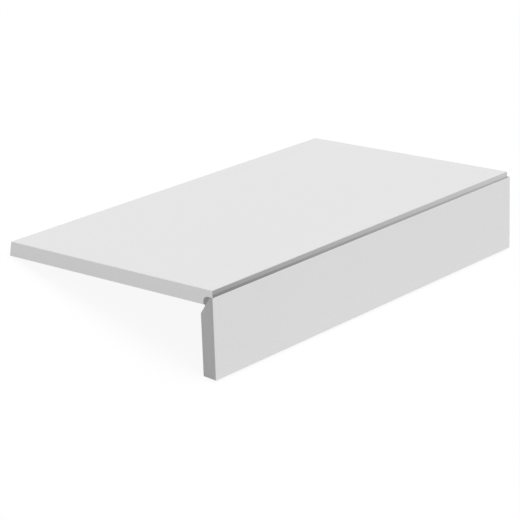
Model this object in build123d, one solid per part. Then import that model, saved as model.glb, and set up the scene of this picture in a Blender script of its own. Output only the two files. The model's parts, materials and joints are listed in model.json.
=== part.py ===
from build123d import *
from math import atan2, cos, degrees, sin
import os

# Stair tread tile: a porcelain tread with a porcelain riser bonded under its front edge, in an L.
# Sections are drawn as (y, z): y runs back from the front faces, and z is 0 on the tread's top face.
# The left ends of all pieces are flush at x = 0.

# Tread
tread_length = 600.0
tread_depth = 330.0
tread_thickness = 19.0
back_draft = 4.0  # the back edge leans out by this much from face to underside
cove_depth = 10.4  # how far the cove rises into the tread from its underside
cove_radius = 6.6
cove_setback = 7.4  # from the front face to the axis of the cove

# Riser
riser_height = 100.0
riser_thickness = 19.0
riser_overrun = 7.0  # how far the riser runs on past the tread at the right
tip_flat = 4.0  # flat left on the riser's top, in front of its bevel
bevel_height = 21.6  # the bevel on the riser's back, measured down its inner face
foot_back_cut = 1.5  # the foot rises by this much from front to back

# Adhesive
film = 0.3  # bed between the riser's top and the tread's lip
pointing_left = 3.3  # height of the strip of adhesive struck off on the front of the lip, at its left end
pointing_right = 2.2  # the strip narrows to this height at the tread's right end
pointing_start = 0.5  # from the left end to the start of that strip
rebate_depth = 0.8  # rebate in the lip that takes the strip
pointing_recess = 0.2  # the strip stands back from the front faces
bond_overrun = 4.0  # how far the adhesive runs on past the tread at the right

# Both tiles
arris = 0.5  # small chamfer ground round the tread's face and along the riser's joint

# Levels and places that follow from the sizes
riser_length = tread_length + riser_overrun
bond_length = tread_length + bond_overrun
lip_height = tread_thickness - cove_depth
lip_underside = -lip_height
rebate_left = lip_underside + pointing_left
rebate_right = lip_underside + pointing_right
riser_top = lip_underside - film
arris_foot = riser_top - arris
foot_front = riser_top - riser_height
foot_back = foot_front + foot_back_cut
bevel_foot = riser_top - bevel_height
cove_axis = (cove_setback, lip_underside - cove_radius)
cove_back = cove_setback + cove_radius
underside_back = tread_depth + back_draft


def bar(section, start, end):
    """A straight piece of this section, from start to end along x."""
    return Pos(X=start) * extrude(Plane.YZ * section, end - start)


def panel(elevation, front, back):
    """A flat piece of this front view, drawn as (x, z), from front to back along y."""
    return Pos(Y=front) * extrude(Plane.XZ * elevation, front - back)


def tread_section():
    edges = Polyline(
        (cove_back, cove_axis[1]),
        (cove_back, -tread_thickness),
        (underside_back, -tread_thickness),
        (tread_depth, 0),
        (0, 0),
        (0, lip_underside),
        (cove_setback, lip_underside),
    )
    cove = CenterArc(cove_axis, cove_radius, 0, 90)
    return make_face(edges + cove)


def rebate_elevation():
    return make_face(
        Polyline(
            (pointing_start, lip_underside),
            (pointing_start, rebate_left),
            (tread_length, rebate_right),
            (tread_length, lip_underside),
            close=True,
        )
    )


def riser_section():
    """The strip's section. It was sawn to size, so only the edge along the joint has an arris."""
    return make_face(
        Polyline(
            (0, foot_front),
            (0, arris_foot),
            (arris, riser_top),
            (tip_flat, riser_top),
            (riser_thickness, bevel_foot),
            (riser_thickness, foot_back),
            close=True,
        )
    )


def bond_section():
    """The bead in the cove with the wedge and film in front of it, less the riser."""
    bead = Pos(*cove_axis) * Circle(cove_radius)
    wedge = make_face(
        Polyline(
            (pointing_recess, arris_foot),
            (pointing_recess, lip_underside),
            (cove_setback, lip_underside),
            cove_axis,
            (tip_flat, riser_top),
            close=True,
        )
    )
    return bead + wedge - riser_section()


def pointing_elevation():
    """The strip fills the rebate and the riser's arris, and slopes down past the tread's right end."""
    return make_face(
        Polyline(
            (pointing_start, arris_foot),
            (pointing_start, rebate_left),
            (tread_length, rebate_right),
            (bond_length, lip_underside),
            (bond_length, arris_foot),
            close=True,
        )
    )


def make_tread():
    slab = bar(tread_section(), 0, tread_length)
    face = slab.faces().sort_by(Axis.Z)[-1]
    return chamfer(face.edges(), arris) - panel(rebate_elevation(), 0, rebate_depth)


def make_riser():
    return bar(riser_section(), 0, riser_length)


def make_adhesive():
    bond = bar(bond_section(), 0, bond_length)
    pointing = panel(pointing_elevation(), pointing_recess, rebate_depth)
    return bond + pointing - make_riser()


# Left unheld, the L tips back until it lies on the back edges of its foot and of the tread's underside.
rest_tilt = atan2(-tread_thickness - foot_back, underside_back - riser_thickness)
floor_level = foot_back * cos(rest_tilt) - riser_thickness * sin(rest_tilt)

pieces = {
    "tread_slab": make_tread(),
    "riser_strip": make_riser(),
    "joint_adhesive": make_adhesive(),
}
tipped = {name: Rot(X=-degrees(rest_tilt)) * piece for name, piece in pieces.items()}
middle = Compound(list(tipped.values())).bounding_box().center()
to_floor = Pos(-middle.X, -middle.Y, -floor_level)

os.makedirs("parts", exist_ok=True)
for name, piece in tipped.items():
    export_step(to_floor * piece, f"parts/{name}.step")
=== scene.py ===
# %% [markdown]
# Stair tread tile: a lesson in dressing a CAD part.
# The real thing is a slab of pale porcelain with a narrow strip of the same tile bonded under its
# front edge. It is laid over the corner of a step, so the slab becomes the tread and the strip
# becomes the riser.
# The shapes were drawn in CAD, to real size. Blender's job here is the finish: the faces, the sawn
# edges and the adhesive.

# %% Load the CAD model
import json
from math import atan2, cos, degrees, hypot, pi, radians, sin

import bmesh
import bpy
from mathutils import Matrix, Vector, noise


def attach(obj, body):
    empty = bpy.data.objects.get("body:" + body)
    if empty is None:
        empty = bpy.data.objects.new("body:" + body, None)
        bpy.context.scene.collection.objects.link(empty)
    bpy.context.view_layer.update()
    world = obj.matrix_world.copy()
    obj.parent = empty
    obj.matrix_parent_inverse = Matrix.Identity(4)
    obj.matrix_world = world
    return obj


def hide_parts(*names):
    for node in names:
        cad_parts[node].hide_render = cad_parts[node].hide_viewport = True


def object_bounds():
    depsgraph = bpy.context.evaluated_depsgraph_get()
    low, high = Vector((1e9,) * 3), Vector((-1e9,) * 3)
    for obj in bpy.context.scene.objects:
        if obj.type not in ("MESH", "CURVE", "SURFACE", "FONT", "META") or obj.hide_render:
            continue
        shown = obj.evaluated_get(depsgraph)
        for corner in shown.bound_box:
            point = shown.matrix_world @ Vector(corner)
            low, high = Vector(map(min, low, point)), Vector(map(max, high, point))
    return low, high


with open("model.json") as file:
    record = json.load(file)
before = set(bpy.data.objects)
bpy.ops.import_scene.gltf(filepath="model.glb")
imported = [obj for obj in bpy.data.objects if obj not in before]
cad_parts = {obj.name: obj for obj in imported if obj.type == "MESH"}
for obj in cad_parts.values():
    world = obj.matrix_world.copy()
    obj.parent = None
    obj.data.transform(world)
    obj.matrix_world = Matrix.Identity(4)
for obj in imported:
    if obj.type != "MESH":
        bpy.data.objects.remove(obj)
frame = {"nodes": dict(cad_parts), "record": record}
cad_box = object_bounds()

MM = 0.001
scene = bpy.context.scene
print("CAD box, m:", [tuple(round(c, 4) for c in corner) for corner in cad_box])

# %% [markdown]
# The tile's own axes.
# Unheld, the L tips back until it lies on two edges, so none of its faces is level with the floor.
# The record's mounts carry the direction of the tread's underside and of the riser's back. From
# those two we get the tile's own "up" and "back", and every later step can speak of the tread's face
# as if it were level. The angle could be typed in as a number, but read from the mounts it stays
# right when a size in the CAD model changes.

# %% Work out the tile's axes and its reference corner
mounts = {mount["name"]: mount for mount in frame["record"]["mounts"]}
ALONG = Vector((1, 0, 0))
BACK = Vector(mounts["riser_bed"]["axis"])
UP = -Vector(mounts["tread_bed"]["axis"])
TILE_AXES = Matrix((ALONG, BACK, UP))
REST_TILT = atan2(UP.y, UP.z)


def in_tile_axes(node_name):
    """The node's corners, measured along the tile's own axes."""
    return [TILE_AXES @ vertex.co for vertex in frame["nodes"][node_name].data.vertices]


tread_points = in_tile_axes("tread_slab")
corner_in_axes = Vector((
    min(p.x for p in tread_points),
    min(p.y for p in tread_points),
    max(p.z for p in tread_points),
))
CORNER = TILE_AXES.transposed() @ corner_in_axes
print("tipped back by", round(degrees(REST_TILT), 2), "degrees")
print("front left corner of the tread's face:", tuple(round(c, 4) for c in CORNER))


def tile_point(along, back, up):
    """A place given in mm from the front left corner of the tread's face, in the tile's own axes."""
    return CORNER + (ALONG * along + BACK * back + UP * up) * MM


# %% [markdown]
# The camera.
# The picture we are matching looks at the front left corner of the tile from a little above the
# tread. Its viewing angle was solved from the corners and the long edges of the tile in the picture.
# That was done in the tile's own axes, because the tile looks level there. The picture is 520 pixels
# wide, and the focal length in pixels becomes a lens in millimetres.

# %% Place the camera
PICTURE_SIDE = 520
FOCAL_PIXELS = 1995.5
SENSOR_MM = 36.0
VIEW_AZIMUTH = radians(-49.284)
VIEW_ELEVATION = radians(17.959)
VIEW_ROLL = radians(-2.003)
CAMERA_PLACE = (-1579.5, -1432.1, 725.4)


def aim(azimuth, elevation, roll):
    """A turn whose columns are the camera's right, up and backward directions, in the scene's axes."""
    backward = Vector((sin(azimuth) * cos(elevation), -cos(azimuth) * cos(elevation), sin(elevation)))
    level_right = Vector((cos(azimuth), sin(azimuth), 0))
    level_up = backward.cross(level_right)
    right = level_right * cos(roll) + level_up * sin(roll)
    up = level_up * cos(roll) - level_right * sin(roll)
    return TILE_AXES.transposed() @ Matrix((right, up, backward)).transposed()


camera_data = bpy.data.cameras.new("picture_camera")
camera_data.sensor_width = SENSOR_MM
camera_data.lens = FOCAL_PIXELS / PICTURE_SIDE * SENSOR_MM
camera = bpy.data.objects.new("picture_camera", camera_data)
turn = aim(VIEW_AZIMUTH, VIEW_ELEVATION, VIEW_ROLL).to_4x4()
camera.matrix_world = Matrix.Translation(tile_point(*CAMERA_PLACE)) @ turn
scene.collection.objects.link(camera)
scene.camera = camera
print("lens, mm:", round(camera_data.lens, 1), "height, m:", round(camera.location.z, 3))

# %% [markdown]
# Small helpers for node trees.
# A material is a graph, and most of its code is "put a value here or a link there". One helper that
# takes either keeps the later cells close to plain formulas, so the reader can see what each finish
# is made of.

# %% Define the node helpers
def feed(tree, socket, source):
    """Link the socket to another socket, or set it to a plain value."""
    if isinstance(source, bpy.types.NodeSocket):
        tree.links.new(source, socket)
    else:
        socket.default_value = source


def add_node(tree, kind, inputs, **settings):
    """A node with its settings, and its inputs fed by name or number."""
    node = tree.nodes.new(kind)
    for name, value in settings.items():
        setattr(node, name, value)
    for name, source in inputs.items():
        feed(tree, node.inputs[name], source)
    return node


def calculate(tree, operation, first, second):
    """The result of one sum on two numbers or sockets."""
    return add_node(tree, "ShaderNodeMath", {0: first, 1: second}, operation=operation).outputs[0]


def calculate_vector(tree, operation, *terms):
    """The result of one sum on places or directions."""
    inputs = dict(enumerate(terms))
    return add_node(tree, "ShaderNodeVectorMath", inputs, operation=operation).outputs["Vector"]


def spread(tree, value, low, high, to_low, to_high):
    """The value carried from the range low to high over to another range, and held there."""
    ends = {"From Min": low, "From Max": high, "To Min": to_low, "To Max": to_high}
    return add_node(tree, "ShaderNodeMapRange", {"Value": value, **ends}).outputs["Result"]


print("node helpers ready")

# %% [markdown]
# Colours in node trees.
# Everything on this tile is neutral, so a colour is one grey level. Two more helpers turn colours
# into each other: one fades between two of them, and one makes a colour paler or darker.

# %% Define the colour helpers
def grey(level):
    """A neutral colour."""
    return (level, level, level, 1.0)


def blend(tree, share, first, second):
    """The first colour, going over to the second as the share goes from 0 to 1."""
    mix = add_node(tree, "ShaderNodeMix", {"Factor": share}, data_type="RGBA")
    for name, source in (("A", first), ("B", second)):
        feed(tree, next(s for s in mix.inputs if s.name == name and s.type == "RGBA"), source)
    return next(s for s in mix.outputs if s.type == "RGBA")


def scale_color(tree, color, factor):
    """The colour made paler or darker by a factor."""
    inputs = {0: color, "Scale": factor}
    return add_node(tree, "ShaderNodeVectorMath", inputs, operation="SCALE").outputs[0]


WHITE = grey(1.0)
print("white:", WHITE)

# %% [markdown]
# Floor and sky.
# The picture has a plain white ground. A floor that is simply white would go grey under soft light,
# so for rays that come straight from the camera, or off a glossy face, most of it is a white glow of
# strength 1. The rest is a lit white surface, which keeps a faint shadow of the tile. Light that
# bounces sees a pale table, lit a little from inside, so that the hollow under the tile isn't black.
# The sky is treated much the same way. From underneath, the floor is clear, so that the underside
# can be looked at.

# %% Define what a ray sees
SEEN_STRENGTH = 1.0


def seen_directly(tree):
    """1 for rays from the camera and for rays that a glossy or clear surface sends on, else 0."""
    path = tree.nodes.new("ShaderNodeLightPath").outputs
    mirrored = calculate(tree, "MAXIMUM", path["Is Glossy Ray"], path["Is Transmission Ray"])
    return calculate(tree, "MAXIMUM", path["Is Camera Ray"], mirrored)


def mix_shaders(tree, share, first, second):
    """The first shader, going over to the second as the share goes from 0 to 1."""
    return add_node(tree, "ShaderNodeMixShader", {0: share, 1: first, 2: second}).outputs[0]


def glow(tree, strength):
    """White light of this strength."""
    return add_node(tree, "ShaderNodeEmission", {"Color": WHITE, "Strength": strength}).outputs[0]


print("floor and sky are seen at strength", SEEN_STRENGTH)

# %% Make the floor
FLOOR_SIDE = 12.0
FLOOR_SHADOW_SHARE = 0.1
TABLE_TONE = 0.55
TABLE_GLOW = 0.25


def make_floor_material():
    """White where it is looked at, a pale table for bounced light, and clear from underneath."""
    material = bpy.data.materials.new("white_floor")
    material.use_nodes = True
    tree = material.node_tree
    tree.nodes.clear()
    lit = add_node(tree, "ShaderNodeBsdfDiffuse", {"Color": WHITE}).outputs[0]
    table = add_node(tree, "ShaderNodeBsdfDiffuse", {"Color": grey(TABLE_TONE)}).outputs[0]
    clear = add_node(tree, "ShaderNodeBsdfTransparent", {}).outputs[0]
    bounce = add_node(tree, "ShaderNodeAddShader", {0: table, 1: glow(tree, TABLE_GLOW)}).outputs[0]
    seen = mix_shaders(tree, FLOOR_SHADOW_SHARE, glow(tree, SEEN_STRENGTH), lit)
    from_above = mix_shaders(tree, seen_directly(tree), bounce, seen)
    below = tree.nodes.new("ShaderNodeNewGeometry").outputs["Backfacing"]
    both = mix_shaders(tree, below, from_above, clear)
    add_node(tree, "ShaderNodeOutputMaterial", {"Surface": both})
    return material


bpy.ops.mesh.primitive_plane_add(size=FLOOR_SIDE)
floor = bpy.context.object
floor.name = "floor"
floor.data.materials.append(make_floor_material())
print("floor side, m:", FLOOR_SIDE)

# %% [markdown]
# Light.
# Plain studio light: a white sky all round gives the fill, and one very wide sun overhead, a little
# to the front, makes the tread the brightest face and the end of the tile the darkest. A wide sun
# has no hard shadow edge. The levels are set so that a colour comes out of the picture about as it
# was written.

# %% Make the lights
SKY_STRENGTH = 0.55
SUN_STRENGTH = 1.52
SUN_FROM = (0.15, -0.2, 1.0)
SUN_ANGLE = radians(40)

world = bpy.data.worlds.new("white_sky")
scene.world = world
world.use_nodes = True
sky_tree = world.node_tree
sky = sky_tree.nodes["Background"].inputs
feed(sky_tree, sky["Color"], WHITE)
sky_level = spread(sky_tree, seen_directly(sky_tree), 0, 1, SKY_STRENGTH, SEEN_STRENGTH)
feed(sky_tree, sky["Strength"], sky_level)

sun_data = bpy.data.lights.new("wide_sun", "SUN")
sun_data.energy = SUN_STRENGTH
sun_data.angle = SUN_ANGLE
sun = bpy.data.objects.new("wide_sun", sun_data)
sun.rotation_mode = "QUATERNION"
sun.rotation_quaternion = Vector(SUN_FROM).to_track_quat("Z", "Y")
scene.collection.objects.link(sun)
scene.view_settings.view_transform = "Standard"
print("sky", SKY_STRENGTH, "sun", SUN_STRENGTH)

# %% [markdown]
# Shared effects.
# The two tiles are the same fired clay, so their finishes share their effects: the grain of the clay,
# the rubbed edges, the lines that a saw leaves, the grid on the back and a tone that changes from one
# end to the other. The adhesive borrows some of them. Each could be copied into every material, but a
# node group is built once, has named inputs, and can be tuned for each finish.

# %% Define how a node group is made
COLOR = "NodeSocketColor"
NUMBER = "NodeSocketFloat"
VECTOR = "NodeSocketVector"


def new_group(name, inputs, outputs):
    """An empty shader group with these named sockets, and its two ends."""
    group = bpy.data.node_groups.new(name, "ShaderNodeTree")
    for socket_name, (kind, start_value) in inputs.items():
        socket = group.interface.new_socket(socket_name, in_out="INPUT", socket_type=kind)
        socket.default_value = start_value
    for socket_name, kind in outputs.items():
        group.interface.new_socket(socket_name, in_out="OUTPUT", socket_type=kind)
    given = group.nodes.new("NodeGroupInput").outputs
    result = group.nodes.new("NodeGroupOutput").inputs
    return group, given, result


def use_group(tree, group, inputs):
    """The group placed in a material, with its own values. Returns the group's outputs."""
    return add_node(tree, "ShaderNodeGroup", inputs, node_tree=group).outputs


print("group helpers ready")

# %% [markdown]
# Patterns on the tile.
# All patterns here are worked out from the place on the object, in metres, so they stay on the tile
# when it is moved or looked at from another side. Where a pattern has a direction, the place is first
# turned into the tile's own axes, so that it follows the tile and not the floor. Two patterns are
# enough. Noise changes smoothly from place to place. Dots sit in the middles of Voronoi cells, and
# each cell comes with a random colour.

# %% Define the patterns
def object_place(tree):
    """Where on the object this point is, in metres."""
    return tree.nodes.new("ShaderNodeTexCoord").outputs["Object"]


def tile_place(tree):
    """The same place, along the tile's own axes."""
    tilted = {"Vector": object_place(tree), "Angle": REST_TILT}
    return add_node(tree, "ShaderNodeVectorRotate", tilted, rotation_type="X_AXIS").outputs[0]


def noise_at(tree, place, rate, detail):
    """Noise from 0 to 1, with about this many changes per unit of the place."""
    inputs = {"Vector": place, "Scale": rate, "Detail": detail}
    return add_node(tree, "ShaderNodeTexNoise", inputs).outputs[0]


def dots(tree, cells_per_m, edge):
    """Round dots that fade out over the edge, given in shares of a cell, and the cells' colours."""
    inputs = {"Vector": object_place(tree), "Scale": cells_per_m}
    cells = add_node(tree, "ShaderNodeTexVoronoi", inputs).outputs
    return spread(tree, cells["Distance"], *edge, 1.0, 0.0), cells["Color"]


print("patterns ready")

# %% [markdown]
# Fired grain.
# Pressed porcelain is fine sand and clay, fused. From a metre away it is one even tone. Close by
# there are faint clouds a hand wide, a grain of about half a millimetre, and here and there a darker
# speck where a mineral melted. Noise makes the clouds and the grain. The specks are dots, and only
# some cells have one.

# %% Build the grain group
CLOUDS_PER_M = 11.0
CLOUD_DETAIL = 5.0
GRAINS_PER_M = 1500.0
GRAIN_DETAIL = 2.0
SPECK_CELLS_PER_M = 300.0
SPECK_EDGE = (0.10, 0.17)
SPECK_CELL_SHARE = 0.35
SPECK_PIT = 0.4


def swing(tree, share, amount):
    """A noise value of 0 to 1 turned into a change of tone, up and down by the amount."""
    centred = calculate(tree, "SUBTRACT", share, 0.5)
    return calculate(tree, "MULTIPLY", centred, calculate(tree, "MULTIPLY", amount, 2.0))


def make_fired_grain():
    """A tone with clouds, grain and specks, a height for the bump and a value for the polish."""
    values = {
        "Tone": (COLOR, grey(0.8)),
        "Clouds": (NUMBER, 0.01),
        "Grain": (NUMBER, 0.03),
        "Specks": (NUMBER, 0.1),
    }
    results = {"Color": COLOR, "Height": NUMBER, "Polish": NUMBER}
    group, given, result = new_group("fired_grain", values, results)
    place = object_place(group)
    cloud = noise_at(group, place, CLOUDS_PER_M, CLOUD_DETAIL)
    grain = noise_at(group, place, GRAINS_PER_M, GRAIN_DETAIL)
    dot, cell_color = dots(group, SPECK_CELLS_PER_M, SPECK_EDGE)
    draw = add_node(group, "ShaderNodeSeparateColor", {"Color": cell_color}).outputs["Red"]
    speck = calculate(group, "MULTIPLY", dot, calculate(group, "LESS_THAN", draw, SPECK_CELL_SHARE))

    clouds = swing(group, cloud, given["Clouds"])
    change = calculate(group, "ADD", clouds, swing(group, grain, given["Grain"]))
    change = calculate(group, "SUBTRACT", change, calculate(group, "MULTIPLY", speck, given["Specks"]))
    factor = calculate(group, "ADD", change, 1.0)
    feed(group, result["Color"], scale_color(group, given["Tone"], factor))
    pits = calculate(group, "MULTIPLY", speck, SPECK_PIT)
    feed(group, result["Height"], calculate(group, "SUBTRACT", grain, pits))
    average = calculate(group, "MULTIPLY", calculate(group, "ADD", cloud, grain), 0.5)
    feed(group, result["Polish"], average)
    return group


FIRED_GRAIN = make_fired_grain()
print("group:", FIRED_GRAIN.name)

# %% [markdown]
# Rubbed arrises.
# Porcelain edges are ground to a small arris so that they don't chip, and the ground clay is a
# little paler than the face. Handling breaks that pale line up. The Bevel node looks round the
# corner: where the rounded normal differs from the true one, an edge is near. The mask could be
# painted, but this finds the edges by itself.

# %% Build the arris group
ARRIS_SAMPLES = 6
NORMALS_APART = (0.995, 0.86)
CHAFES_PER_M = 95.0
CHAFE_DETAIL = 4.0
CHAFE_NOISE = (0.3, 0.6)
CHAFE_STRENGTH = (0.55, 1.0)


def make_rubbed_arris():
    """A mask that is 1 on the arrises and 0 on the flats, broken up by handling."""
    group, given, result = new_group("rubbed_arris", {"Width": (NUMBER, 0.001)}, {"Mask": NUMBER})
    bevel = add_node(group, "ShaderNodeBevel", {"Radius": given["Width"]}, samples=ARRIS_SAMPLES)
    straight = group.nodes.new("ShaderNodeNewGeometry").outputs["True Normal"]
    normals = {0: bevel.outputs[0], 1: straight}
    agree = add_node(group, "ShaderNodeVectorMath", normals, operation="DOT_PRODUCT").outputs["Value"]
    near = spread(group, agree, *NORMALS_APART, 0.0, 1.0)
    chafe = noise_at(group, object_place(group), CHAFES_PER_M, CHAFE_DETAIL)
    rubbed = spread(group, chafe, *CHAFE_NOISE, *CHAFE_STRENGTH)
    feed(group, result["Mask"], calculate(group, "MULTIPLY", near, rubbed))
    return group


RUBBED_ARRIS = make_rubbed_arris()
print("group:", RUBBED_ARRIS.name)

# %% [markdown]
# Saw lines.
# A diamond blade leaves fine straight lines along its travel. They are noise drawn out in one
# direction: few changes along the cut and many across it. So the place along the tile's own axes is
# stretched by a different rate on each axis.

# %% Build the saw line group
SAW_DETAIL = 3.0
SAW_NOISE = (0.3, 0.7)


def make_saw_lines():
    """Fine lines from 0 to 1, with their changes per metre given for each of the tile's axes."""
    values = {"Rates": (VECTOR, (1.0, 900.0, 900.0))}
    group, given, result = new_group("saw_lines", values, {"Lines": NUMBER})
    drawn_out = calculate_vector(group, "MULTIPLY", tile_place(group), given["Rates"])
    lines = noise_at(group, drawn_out, 1.0, SAW_DETAIL)
    feed(group, result["Lines"], spread(group, lines, *SAW_NOISE, 0.0, 1.0))
    return group


SAW_LINES = make_saw_lines()
print("group:", SAW_LINES.name)

# %% [markdown]
# The grid on the tile's back.
# The press plate leaves a shallow grid of grooves on the back of a tile, and the mortar keys into
# it. It could be cut into the mesh, but half a millimetre of relief on a hidden face is surface
# detail, so it goes into the bump. Planes stand at an even pitch on each of the tile's axes, and a
# point that is near one of them lies in a groove. A little noise makes the edges ragged.

# %% Build the bed grid group
GRID_PITCH = 15.0 * MM
GROOVE_EDGE = (0.07, 0.12)
GROOVE_RAGGED = 0.03
RAGS_PER_M = 400.0
RAG_DETAIL = 2.0
CELL_MIDDLE = (0.5, 0.5, 0.5)


def make_bed_grid():
    """A mask that is 1 in the grooves and 0 on the pads between them."""
    group, given, result = new_group("bed_grid", {"Pitch": (NUMBER, GRID_PITCH)}, {"Grooves": NUMBER})
    from_corner = calculate_vector(group, "SUBTRACT", tile_place(group), corner_in_axes)
    cells = calculate_vector(group, "DIVIDE", from_corner, given["Pitch"])
    in_cell = calculate_vector(group, "FRACTION", cells)
    from_planes = calculate_vector(
        group, "ABSOLUTE", calculate_vector(group, "SUBTRACT", in_cell, CELL_MIDDLE)
    )
    axes = add_node(group, "ShaderNodeSeparateXYZ", {"Vector": from_planes}).outputs
    nearest = calculate(group, "MINIMUM", axes["X"], calculate(group, "MINIMUM", axes["Y"], axes["Z"]))
    rag = noise_at(group, object_place(group), RAGS_PER_M, RAG_DETAIL)
    ragged = calculate(group, "ADD", nearest, swing(group, rag, GROOVE_RAGGED))
    feed(group, result["Grooves"], spread(group, ragged, *GROOVE_EDGE, 1.0, 0.0))
    return group


BED_GRID = make_bed_grid()
print("group:", BED_GRID.name)

# %% [markdown]
# Painted shading along the tile.
# The ground lip and the struck strip of adhesive are painted darker at the left end than at the right,
# as shading that stands in for light falling off along the joint. A map from the place along the
# tile to a share between two tones is enough, and it stays on the tile when the camera moves.

# %% Build the lengthwise painted-shade group
LEFT_END = cad_box[0][0]
RIGHT_END = cad_box[1][0]


def make_lengthwise_painted_shade():
    """A colour that fades from one end of the tile to the other, as painted shading."""
    values = {"Left": (COLOR, grey(0.3)), "Right": (COLOR, grey(0.5))}
    # the fade from Left to Right is painted shading along the length, not a change in the clay
    group, given, result = new_group("lengthwise_painted_shade", values, {"Color": COLOR})
    along = add_node(group, "ShaderNodeSeparateXYZ", {"Vector": object_place(group)}).outputs["X"]
    share = spread(group, along, LEFT_END, RIGHT_END, 0.0, 1.0)
    feed(group, result["Color"], blend(group, share, given["Left"], given["Right"]))
    return group


LENGTHWISE_PAINTED_SHADE = make_lengthwise_painted_shade()
print("group:", LENGTHWISE_PAINTED_SHADE.name)

# %% [markdown]
# The porcelain.
# One clay gives every finish on the two tiles, and the finishes differ in tone, roughness, grain and
# saw lines. Seven materials could be built one by one, but one function that makes them all from a
# short list of values keeps the family likeness.

# %% Define what every finish needs
def new_finish(name):
    """A new material with its tree and its shader's inputs."""
    material = bpy.data.materials.new(name)
    material.use_nodes = True
    tree = material.node_tree
    return material, tree, tree.nodes["Principled BSDF"].inputs


def base_tone(tree, tone):
    """A grey level, or a pair of them that fade from the left end to the right as painted shading."""
    if isinstance(tone, float):
        return grey(tone)
    left, right = tone
    return use_group(tree, LENGTHWISE_PAINTED_SHADE, {"Left": grey(left), "Right": grey(right)})["Color"]


def add_bump(tree, shader, strength, depth_mm, height):
    """Relief of this depth for the shader's normal."""
    inputs = {"Strength": strength, "Distance": depth_mm * MM, "Height": height}
    feed(tree, shader["Normal"], add_node(tree, "ShaderNodeBump", inputs).outputs[0])


print("finish helpers ready")

# %% Define the porcelain
ALONG_THE_TILE = (6.0, 1400.0, 1400.0)
DOWN_THE_TILE = (650.0, 650.0, 9.0)
ARRIS_REACH = 0.9 * MM
SAW_RELIEF = 12.0
CLAY_CLOUDS = 0.008
SPECKS_TO_GRAIN = 1.6
GROOVE_TONE = 0.9
POLISH_NOISE = (0.35, 0.65)
CLAY_BUMP = 0.6


def porcelain(
    name, tone, arris_gain, roughness, grain, bump_mm,
    saw_rates=ALONG_THE_TILE, saw_depth=0.0, groove_mm=0.0,
):
    """Fired clay. Its arrises are paler than its tone by the gain, and its saw lines by their depth."""
    material, tree, shader = new_finish(name)
    clay = use_group(tree, FIRED_GRAIN, {
        "Tone": base_tone(tree, tone),
        "Clouds": CLAY_CLOUDS,
        "Grain": grain,
        "Specks": SPECKS_TO_GRAIN * grain,
    })
    saw = use_group(tree, SAW_LINES, {"Rates": saw_rates})["Lines"]
    arris = use_group(tree, RUBBED_ARRIS, {"Width": ARRIS_REACH})["Mask"]
    color = blend(tree, calculate(tree, "MULTIPLY", saw, saw_depth), clay["Color"], WHITE)
    furrows = calculate(tree, "MULTIPLY", saw, saw_depth * SAW_RELIEF)
    height = calculate(tree, "ADD", clay["Height"], furrows)
    if groove_mm:
        groove = use_group(tree, BED_GRID, {"Pitch": GRID_PITCH})["Grooves"]
        color = blend(tree, groove, color, scale_color(tree, color, GROOVE_TONE))
        sunk = calculate(tree, "MULTIPLY", groove, groove_mm / bump_mm)
        height = calculate(tree, "SUBTRACT", height, sunk)
    feed(tree, shader["Base Color"], blend(tree, arris, color, scale_color(tree, color, arris_gain)))
    feed(tree, shader["Roughness"], spread(tree, clay["Polish"], *POLISH_NOISE, *roughness))
    add_bump(tree, shader, CLAY_BUMP, bump_mm, height)
    return material


print("porcelain: specks are", SPECKS_TO_GRAIN, "times as strong as the grain")

# %% [markdown]
# The finishes.
# The face is dense and matt, with pale rubbed arrises. The tread's ends are ground flush and keep
# the tone of the face. The front of its lip is ground too, but unsealed and darker, and the arris
# over it lies between the two. Both of these also carry painted shading, darker at the left end than
# at the right. The riser's ends were sawn across, and its bevel and foot were ripped lengthwise, so
# these are raw clay. The bed under the tread and behind the riser is the rough back of the tile, with
# the pressed grid that takes the mortar.

# %% Make the porcelain finishes
FACE = porcelain(
    "matt_face", tone=0.783, arris_gain=1.07, roughness=(0.5, 0.62), grain=0.08, bump_mm=0.1,
)
GROUND_END = porcelain(
    "ground_end", tone=0.80, arris_gain=1.07, roughness=(0.55, 0.68), grain=0.08, bump_mm=0.08,
    saw_depth=0.02,
)
SAWN = porcelain(
    "sawn_clay", tone=0.47, arris_gain=1.15, roughness=(0.72, 0.86), grain=0.09, bump_mm=0.08,
    saw_rates=DOWN_THE_TILE, saw_depth=0.12,
)
RIPPED = porcelain(
    "ripped_clay", tone=0.49, arris_gain=1.15, roughness=(0.72, 0.86), grain=0.09, bump_mm=0.08,
    saw_depth=0.05,
)
# the lip's and its arris's pair tones fade from left to right: painted shading over their own darker
# ground tone
LIP = porcelain(
    "ground_lip", tone=(0.35, 0.62), arris_gain=1.1, roughness=(0.62, 0.75), grain=0.07, bump_mm=0.06,
    saw_depth=0.04,
)
LIP_ARRIS = porcelain(
    "ground_lip_arris", tone=(0.58, 0.69), arris_gain=1.05, roughness=(0.6, 0.72), grain=0.07,
    bump_mm=0.06, saw_depth=0.02,
)
BED = porcelain(
    "rough_bed", tone=0.66, arris_gain=1.09, roughness=(0.8, 0.92), grain=0.1, bump_mm=0.12,
    groove_mm=0.5,
)
porcelain_finishes = [FACE, GROUND_END, SAWN, RIPPED, LIP, LIP_ARRIS, BED]
print("porcelain finishes:", [finish.name for finish in porcelain_finishes])

# %% [markdown]
# Dressing the tread and the riser.
# The CAD solids have the right shape, but their edges are mathematically sharp and each has only one
# material. We copy the mesh, join its triangles back into whole faces, give each face the finish
# that its direction calls for, and let a Bevel modifier round every edge by a fifth of a millimetre.
# Weighted normals keep the flats flat. The finish could also be chosen inside one big material, but
# slots by face stay sharp at the edges.

# %% Define how a mesh becomes a piece
WELD = 0.01 * MM
FLAT = radians(2)


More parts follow.
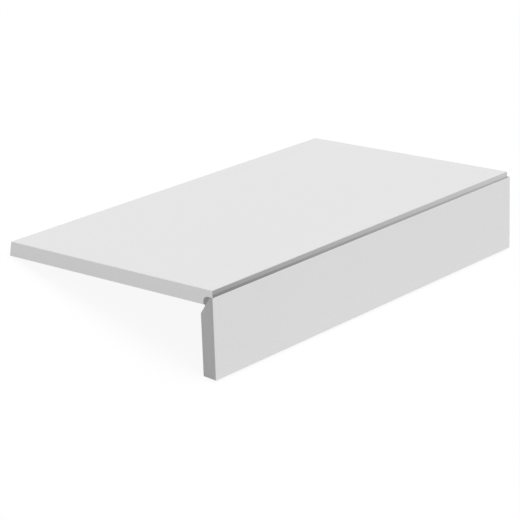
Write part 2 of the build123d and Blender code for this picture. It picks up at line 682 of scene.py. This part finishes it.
def whole_faces(node_name):
    """The node's mesh with its triangles joined back into whole faces."""
    work = bmesh.new()
    work.from_mesh(frame["nodes"][node_name].data)
    bmesh.ops.remove_doubles(work, verts=work.verts, dist=WELD)
    bmesh.ops.dissolve_limit(work, angle_limit=FLAT, verts=work.verts, edges=work.edges)
    return work


def place_piece(piece_name, work, node_name):
    """A finished mesh as a piece that stands for its CAD node."""
    mesh = bpy.data.meshes.new(piece_name)
    work.to_mesh(mesh)
    work.free()
    piece = bpy.data.objects.new(piece_name, mesh)
    scene.collection.objects.link(piece)
    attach(piece, "root")
    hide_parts(node_name)
    return piece


print("nodes to dress:", sorted(frame["nodes"]))

# %% Define how a CAD piece is dressed
EDGE_ROUNDING = 0.22 * MM
EDGE_SEGMENTS = 3
EDGE_ANGLE = radians(32)
BY_AREA_ONLY = 100


def round_edges(piece):
    """Small rounds on every edge, with the flats kept flat."""
    rounding = piece.modifiers.new("rounded_arrises", "BEVEL")
    rounding.width = EDGE_ROUNDING
    rounding.segments = EDGE_SEGMENTS
    rounding.limit_method = "ANGLE"
    rounding.angle_limit = EDGE_ANGLE
    flats = piece.modifiers.new("flat_faces", "WEIGHTED_NORMAL")
    flats.weight = BY_AREA_ONLY


def dress(node_name, piece_name, finishes, finish_for):
    """A copy of a CAD node with rounded edges, and a finish for each of its faces."""
    work = whole_faces(node_name)
    for face in work.faces:
        facing = TILE_AXES @ face.normal
        place = (TILE_AXES @ face.calc_center_median() - corner_in_axes) / MM
        face.material_index = finishes.index(finish_for(facing, place))
        face.smooth = True
    piece = place_piece(piece_name, work, node_name)
    for finish in finishes:
        piece.data.materials.append(finish)
    round_edges(piece)
    print(piece_name, "faces:", len(piece.data.polygons))
    return piece


print("edges are rounded by, mm:", round(EDGE_ROUNDING / MM, 2))

# %% [markdown]
# The tread.
# Its top, its ends and its back edge are seen every day, so they are the good faces. The front of
# the lip, with its arris, shows raw ground clay above the joint. Underneath is the bed, and the cove
# and the rebate that take the adhesive are sawn. Which finish a face gets follows from the way it
# faces, so nothing has to be picked by hand.

# %% Dress the tread
JOINT_ZONE = 30


def leans(amount):
    """True for a face that leans at least halfway to a direction, as an arris does."""
    return amount > 0.5


def mostly(amount):
    """True for a face that looks almost straight in a direction."""
    return amount > 0.9


def tread_finish(facing, place):
    """The finish of one face of the tread."""
    if leans(-facing.y):
        return LIP_ARRIS if leans(facing.z) else LIP
    if leans(facing.z):
        return FACE
    if mostly(abs(facing.x)) or leans(facing.y):
        return GROUND_END
    if mostly(-facing.z) and place.y > JOINT_ZONE:
        return BED
    return RIPPED


tread_finishes = [FACE, GROUND_END, LIP, LIP_ARRIS, BED, RIPPED]
tread = dress("tread_slab", "tread_tile", tread_finishes, tread_finish)

# %% [markdown]
# The riser.
# The strip was cut from a tile: its front is the tile's face and its back is the tile's bed. The
# ends were cut across, so their saw lines run down the strip. The bevel and the foot were ripped, so
# theirs run along it.

# %% Dress the riser
def riser_finish(facing, place):
    """The finish of one face of the riser. Only the way it faces matters here."""
    if leans(-facing.y):
        return FACE
    if mostly(abs(facing.x)):
        return SAWN
    if mostly(facing.y):
        return BED
    return RIPPED


riser_finishes = [FACE, SAWN, BED, RIPPED]
riser = dress("riser_strip", "riser_tile", riser_finishes, riser_finish)

# %% [markdown]
# The adhesive's finish.
# Cured tile adhesive is a dark grey resin, satin where a blade has struck it off. It has drag marks
# along the joint, a few burst bubbles, and fine dust from the sawn clay. The drag marks are the saw
# line group again at a slower rate, the dust is the grain group with pale specks, and the bubbles
# are dots that only go into the bump and the roughness.

# %% Define the adhesive
DRAG_RATES = (18.0, 700.0, 700.0)
DRAG_PALE = grey(0.75)
DRAG_SHARE = 0.12
DRAG_RELIEF = 0.4
DUST = {"Clouds": 0.05, "Grain": 0.12, "Specks": -0.25}
BUBBLE_CELLS_PER_M = 210.0
BUBBLE_EDGE = (0.08, 0.2)
ROUGHEST = 1.4
RESIN_BUMP = 0.7


def adhesive(name, tone, roughness, bump_mm):
    """Cured resin with drag marks, burst bubbles and pale dust."""
    material, tree, shader = new_finish(name)
    dusty = use_group(tree, FIRED_GRAIN, {"Tone": base_tone(tree, tone), **DUST})["Color"]
    drag = use_group(tree, SAW_LINES, {"Rates": DRAG_RATES})["Lines"]
    bubble, _ = dots(tree, BUBBLE_CELLS_PER_M, BUBBLE_EDGE)
    dragged = blend(tree, calculate(tree, "MULTIPLY", drag, DRAG_SHARE), dusty, DRAG_PALE)
    feed(tree, shader["Base Color"], dragged)
    uneven = calculate(tree, "ADD", drag, bubble)
    feed(tree, shader["Roughness"], spread(tree, uneven, 0.0, ROUGHEST, *roughness))
    height = calculate(tree, "SUBTRACT", calculate(tree, "MULTIPLY", drag, DRAG_RELIEF), bubble)
    add_bump(tree, shader, RESIN_BUMP, bump_mm, height)
    return material


# the strip's pair tone fades from left to right: painted shading over the resin's own dark grey
STRUCK = adhesive("struck_adhesive", tone=(0.22, 0.44), roughness=(0.42, 0.62), bump_mm=0.12)
CUT = adhesive("cut_adhesive", tone=0.285, roughness=(0.5, 0.7), bump_mm=0.1)
print("adhesive finishes:", STRUCK.name, CUT.name)

# %% [markdown]
# The joint's sizes.
# The adhesive fills what the two tiles leave free, so most of its sizes are read off the CAD pieces,
# in mm along the tile's own axes. Only a few small sizes, which are hard to read off a mesh, are
# written down here.

# %% Measure the joint
BEAD_RADIUS = 6.6
FILM = 0.3
RISER_ARRIS = 0.5
REBATE_DEPTH = 0.8
STRIP_RECESS = 0.2
STRIP_START = 0.5


def in_mm(node_name):
    """The node's corners in mm from the tile's reference corner."""
    return [(p - corner_in_axes) / MM for p in in_tile_axes(node_name)]


riser_points = in_mm("riser_strip")
bond_points = in_mm("joint_adhesive")
riser_top = max(p.z for p in riser_points)
riser_back = max(p.y for p in riser_points)
bevel_top = max(p.y for p in riser_points if riser_top - p.z < FILM)
bevel_foot = max(p.z for p in riser_points if riser_back - p.y < FILM)
tread_end = max(p.x for p in in_mm("tread_slab"))
bond_end = max(p.x for p in bond_points)
strip_left = max(p.z for p in bond_points)
strip_right = max(p.z for p in bond_points if abs(p.x - tread_end) < FILM)
lip_underside = riser_top + FILM
bead_axis = (max(p.y for p in bond_points) - BEAD_RADIUS, lip_underside - BEAD_RADIUS)
print("riser top", round(riser_top, 2), "riser back", round(riser_back, 2))
print("bevel from", round(bevel_top, 2), "back and", round(bevel_foot, 2), "up at its foot")
print("tread end", round(tread_end, 2), "bond end", round(bond_end, 2))
print("strip top", round(strip_left, 2), "at the left and", round(strip_right, 2), "at the right")

# %% [markdown]
# Where the bead meets the bevel.
# The bead is a round bar, and the riser's bevel cuts across it. Its free surface ends where the
# circle crosses the bevel's line. That point could be searched for step by step, but a line and a
# circle can be crossed with a short sum: find the middle of the chord, then go half a chord along.

# %% Find the bead's tip
def bead_tip_angle():
    """The angle on the bead, from level, where it meets the riser's bevel."""
    run, fall = riser_back - bevel_top, bevel_foot - riser_top
    length = hypot(run, fall)
    axis_back, axis_up = bead_axis[0] - bevel_top, bead_axis[1] - riser_top
    offset = (axis_back * fall - axis_up * run) / length
    half = (BEAD_RADIUS ** 2 - offset ** 2) ** 0.5
    reach = ((axis_back * run + axis_up * fall) / length + half) / length
    tip = (bevel_top + run * reach, riser_top + fall * reach)
    return atan2(tip[1] - bead_axis[1], tip[0] - bead_axis[0])


TIP_ANGLE = bead_tip_angle()
print("bead meets the bevel at", round(degrees(TIP_ANGLE), 1), "degrees")

# %% [markdown]
# The adhesive.
# It is one bead laid in the cove, pressed flat by the riser, with a thin strip struck off along the
# front of the lip. A CAD extrusion has the same section from end to end, but a bead laid by hand
# wavers. So the section is drawn as a loop of points, repeated every few millimetres along the
# joint, and its free surfaces waver by a few tenths of a millimetre. The strip narrows to the right,
# and past the tread's end the loop is pressed down along a slope, as the CAD piece is.

# %% Define the adhesive's section
ARC_STEPS = 26
ARC_ROW = 0.25
BEAD_WAVER = 0.14
STRIP_WAVER = 0.06
WAVER_LENGTH = 23.0
WAVER_ROW = 1.7
WAVER_SLICE = 0.4
OVERLAP = 0.05


def waver(along, row):
    """A slow, repeatable wander, from -1 to 1."""
    return noise.noise(Vector((along / WAVER_LENGTH, row * WAVER_ROW, WAVER_SLICE)))


def between(first, last, share):
    """The value that lies at this share of the way from the first to the last."""
    return first + (last - first) * share


def strip_top(along):
    """The height of the strip's top: it narrows along the lip and slopes down past the tread's end."""
    if along <= STRIP_START:
        return lip_underside + OVERLAP
    if along <= tread_end:
        return between(strip_left, strip_right, (along - STRIP_START) / (tread_end - STRIP_START))
    return between(strip_right, lip_underside, (along - tread_end) / (bond_end - tread_end))


def section_at(along):
    """The loop of (back, up) points of the adhesive at this distance along the joint."""
    front = STRIP_RECESS + STRIP_WAVER * waver(along, 0)
    top = strip_top(along)
    loop = [
        (front, riser_top - RISER_ARRIS + front),
        (front, top),
        (REBATE_DEPTH, top),
        (REBATE_DEPTH + OVERLAP, lip_underside),
    ]
    for step in range(ARC_STEPS + 1):
        angle = between(pi / 2, TIP_ANGLE, step / ARC_STEPS)
        free = max(0.0, -sin(angle))
        radius = BEAD_RADIUS - BEAD_WAVER * free * (1 + waver(along, 1 + step * ARC_ROW))
        loop.append((bead_axis[0] + radius * cos(angle), bead_axis[1] + radius * sin(angle)))
    return loop + [(bevel_top, riser_top), (RISER_ARRIS, riser_top)]


print("points in a section:", len(section_at(STRIP_START)))

# %% [markdown]
# Laying the bead.
# The loops stand close together at the two ends, where the shape changes, and evenly between them.
# Each loop is joined to the next by a band of faces. The first and last are closed by a flat cut
# face, which gets the cut finish.

# %% Make the adhesive
STATION_GAP = 4.0
END_TRIM = 0.05
SLOPE_STEPS = 4
bond_finishes = [STRUCK, CUT]


def stations():
    """Distances along the joint at which the section is drawn, closer together at its ends."""
    count = round(tread_end / STATION_GAP)
    even = [tread_end * step / count for step in range(1, count + 1)]
    last = bond_end - END_TRIM
    slope = [between(tread_end, last, step / SLOPE_STEPS) for step in range(1, SLOPE_STEPS + 1)]
    return [END_TRIM, STRIP_START, STRIP_START + END_TRIM] + even + slope


def make_adhesive():
    """The mesh of the whole bead, with its two cut ends."""
    work = bmesh.new()
    rings = []
    for along in stations():
        rings.append([work.verts.new(tile_point(along, back, up)) for back, up in section_at(along)])
    for ring, following in zip(rings, rings[1:]):
        for index in range(len(ring)):
            work.faces.new((ring[index - 1], ring[index], following[index], following[index - 1]))
    for ring in (rings[0], list(reversed(rings[-1]))):
        work.faces.new(ring).material_index = bond_finishes.index(CUT)
    bmesh.ops.recalc_face_normals(work, faces=work.faces)
    for face in work.faces:
        face.smooth = True
    return work


bond = place_piece("adhesive_bead", make_adhesive(), "joint_adhesive")
for finish in bond_finishes:
    bond.data.materials.append(finish)
bond.data.set_sharp_from_angle(angle=EDGE_ANGLE)
print("adhesive faces:", len(bond.data.polygons))
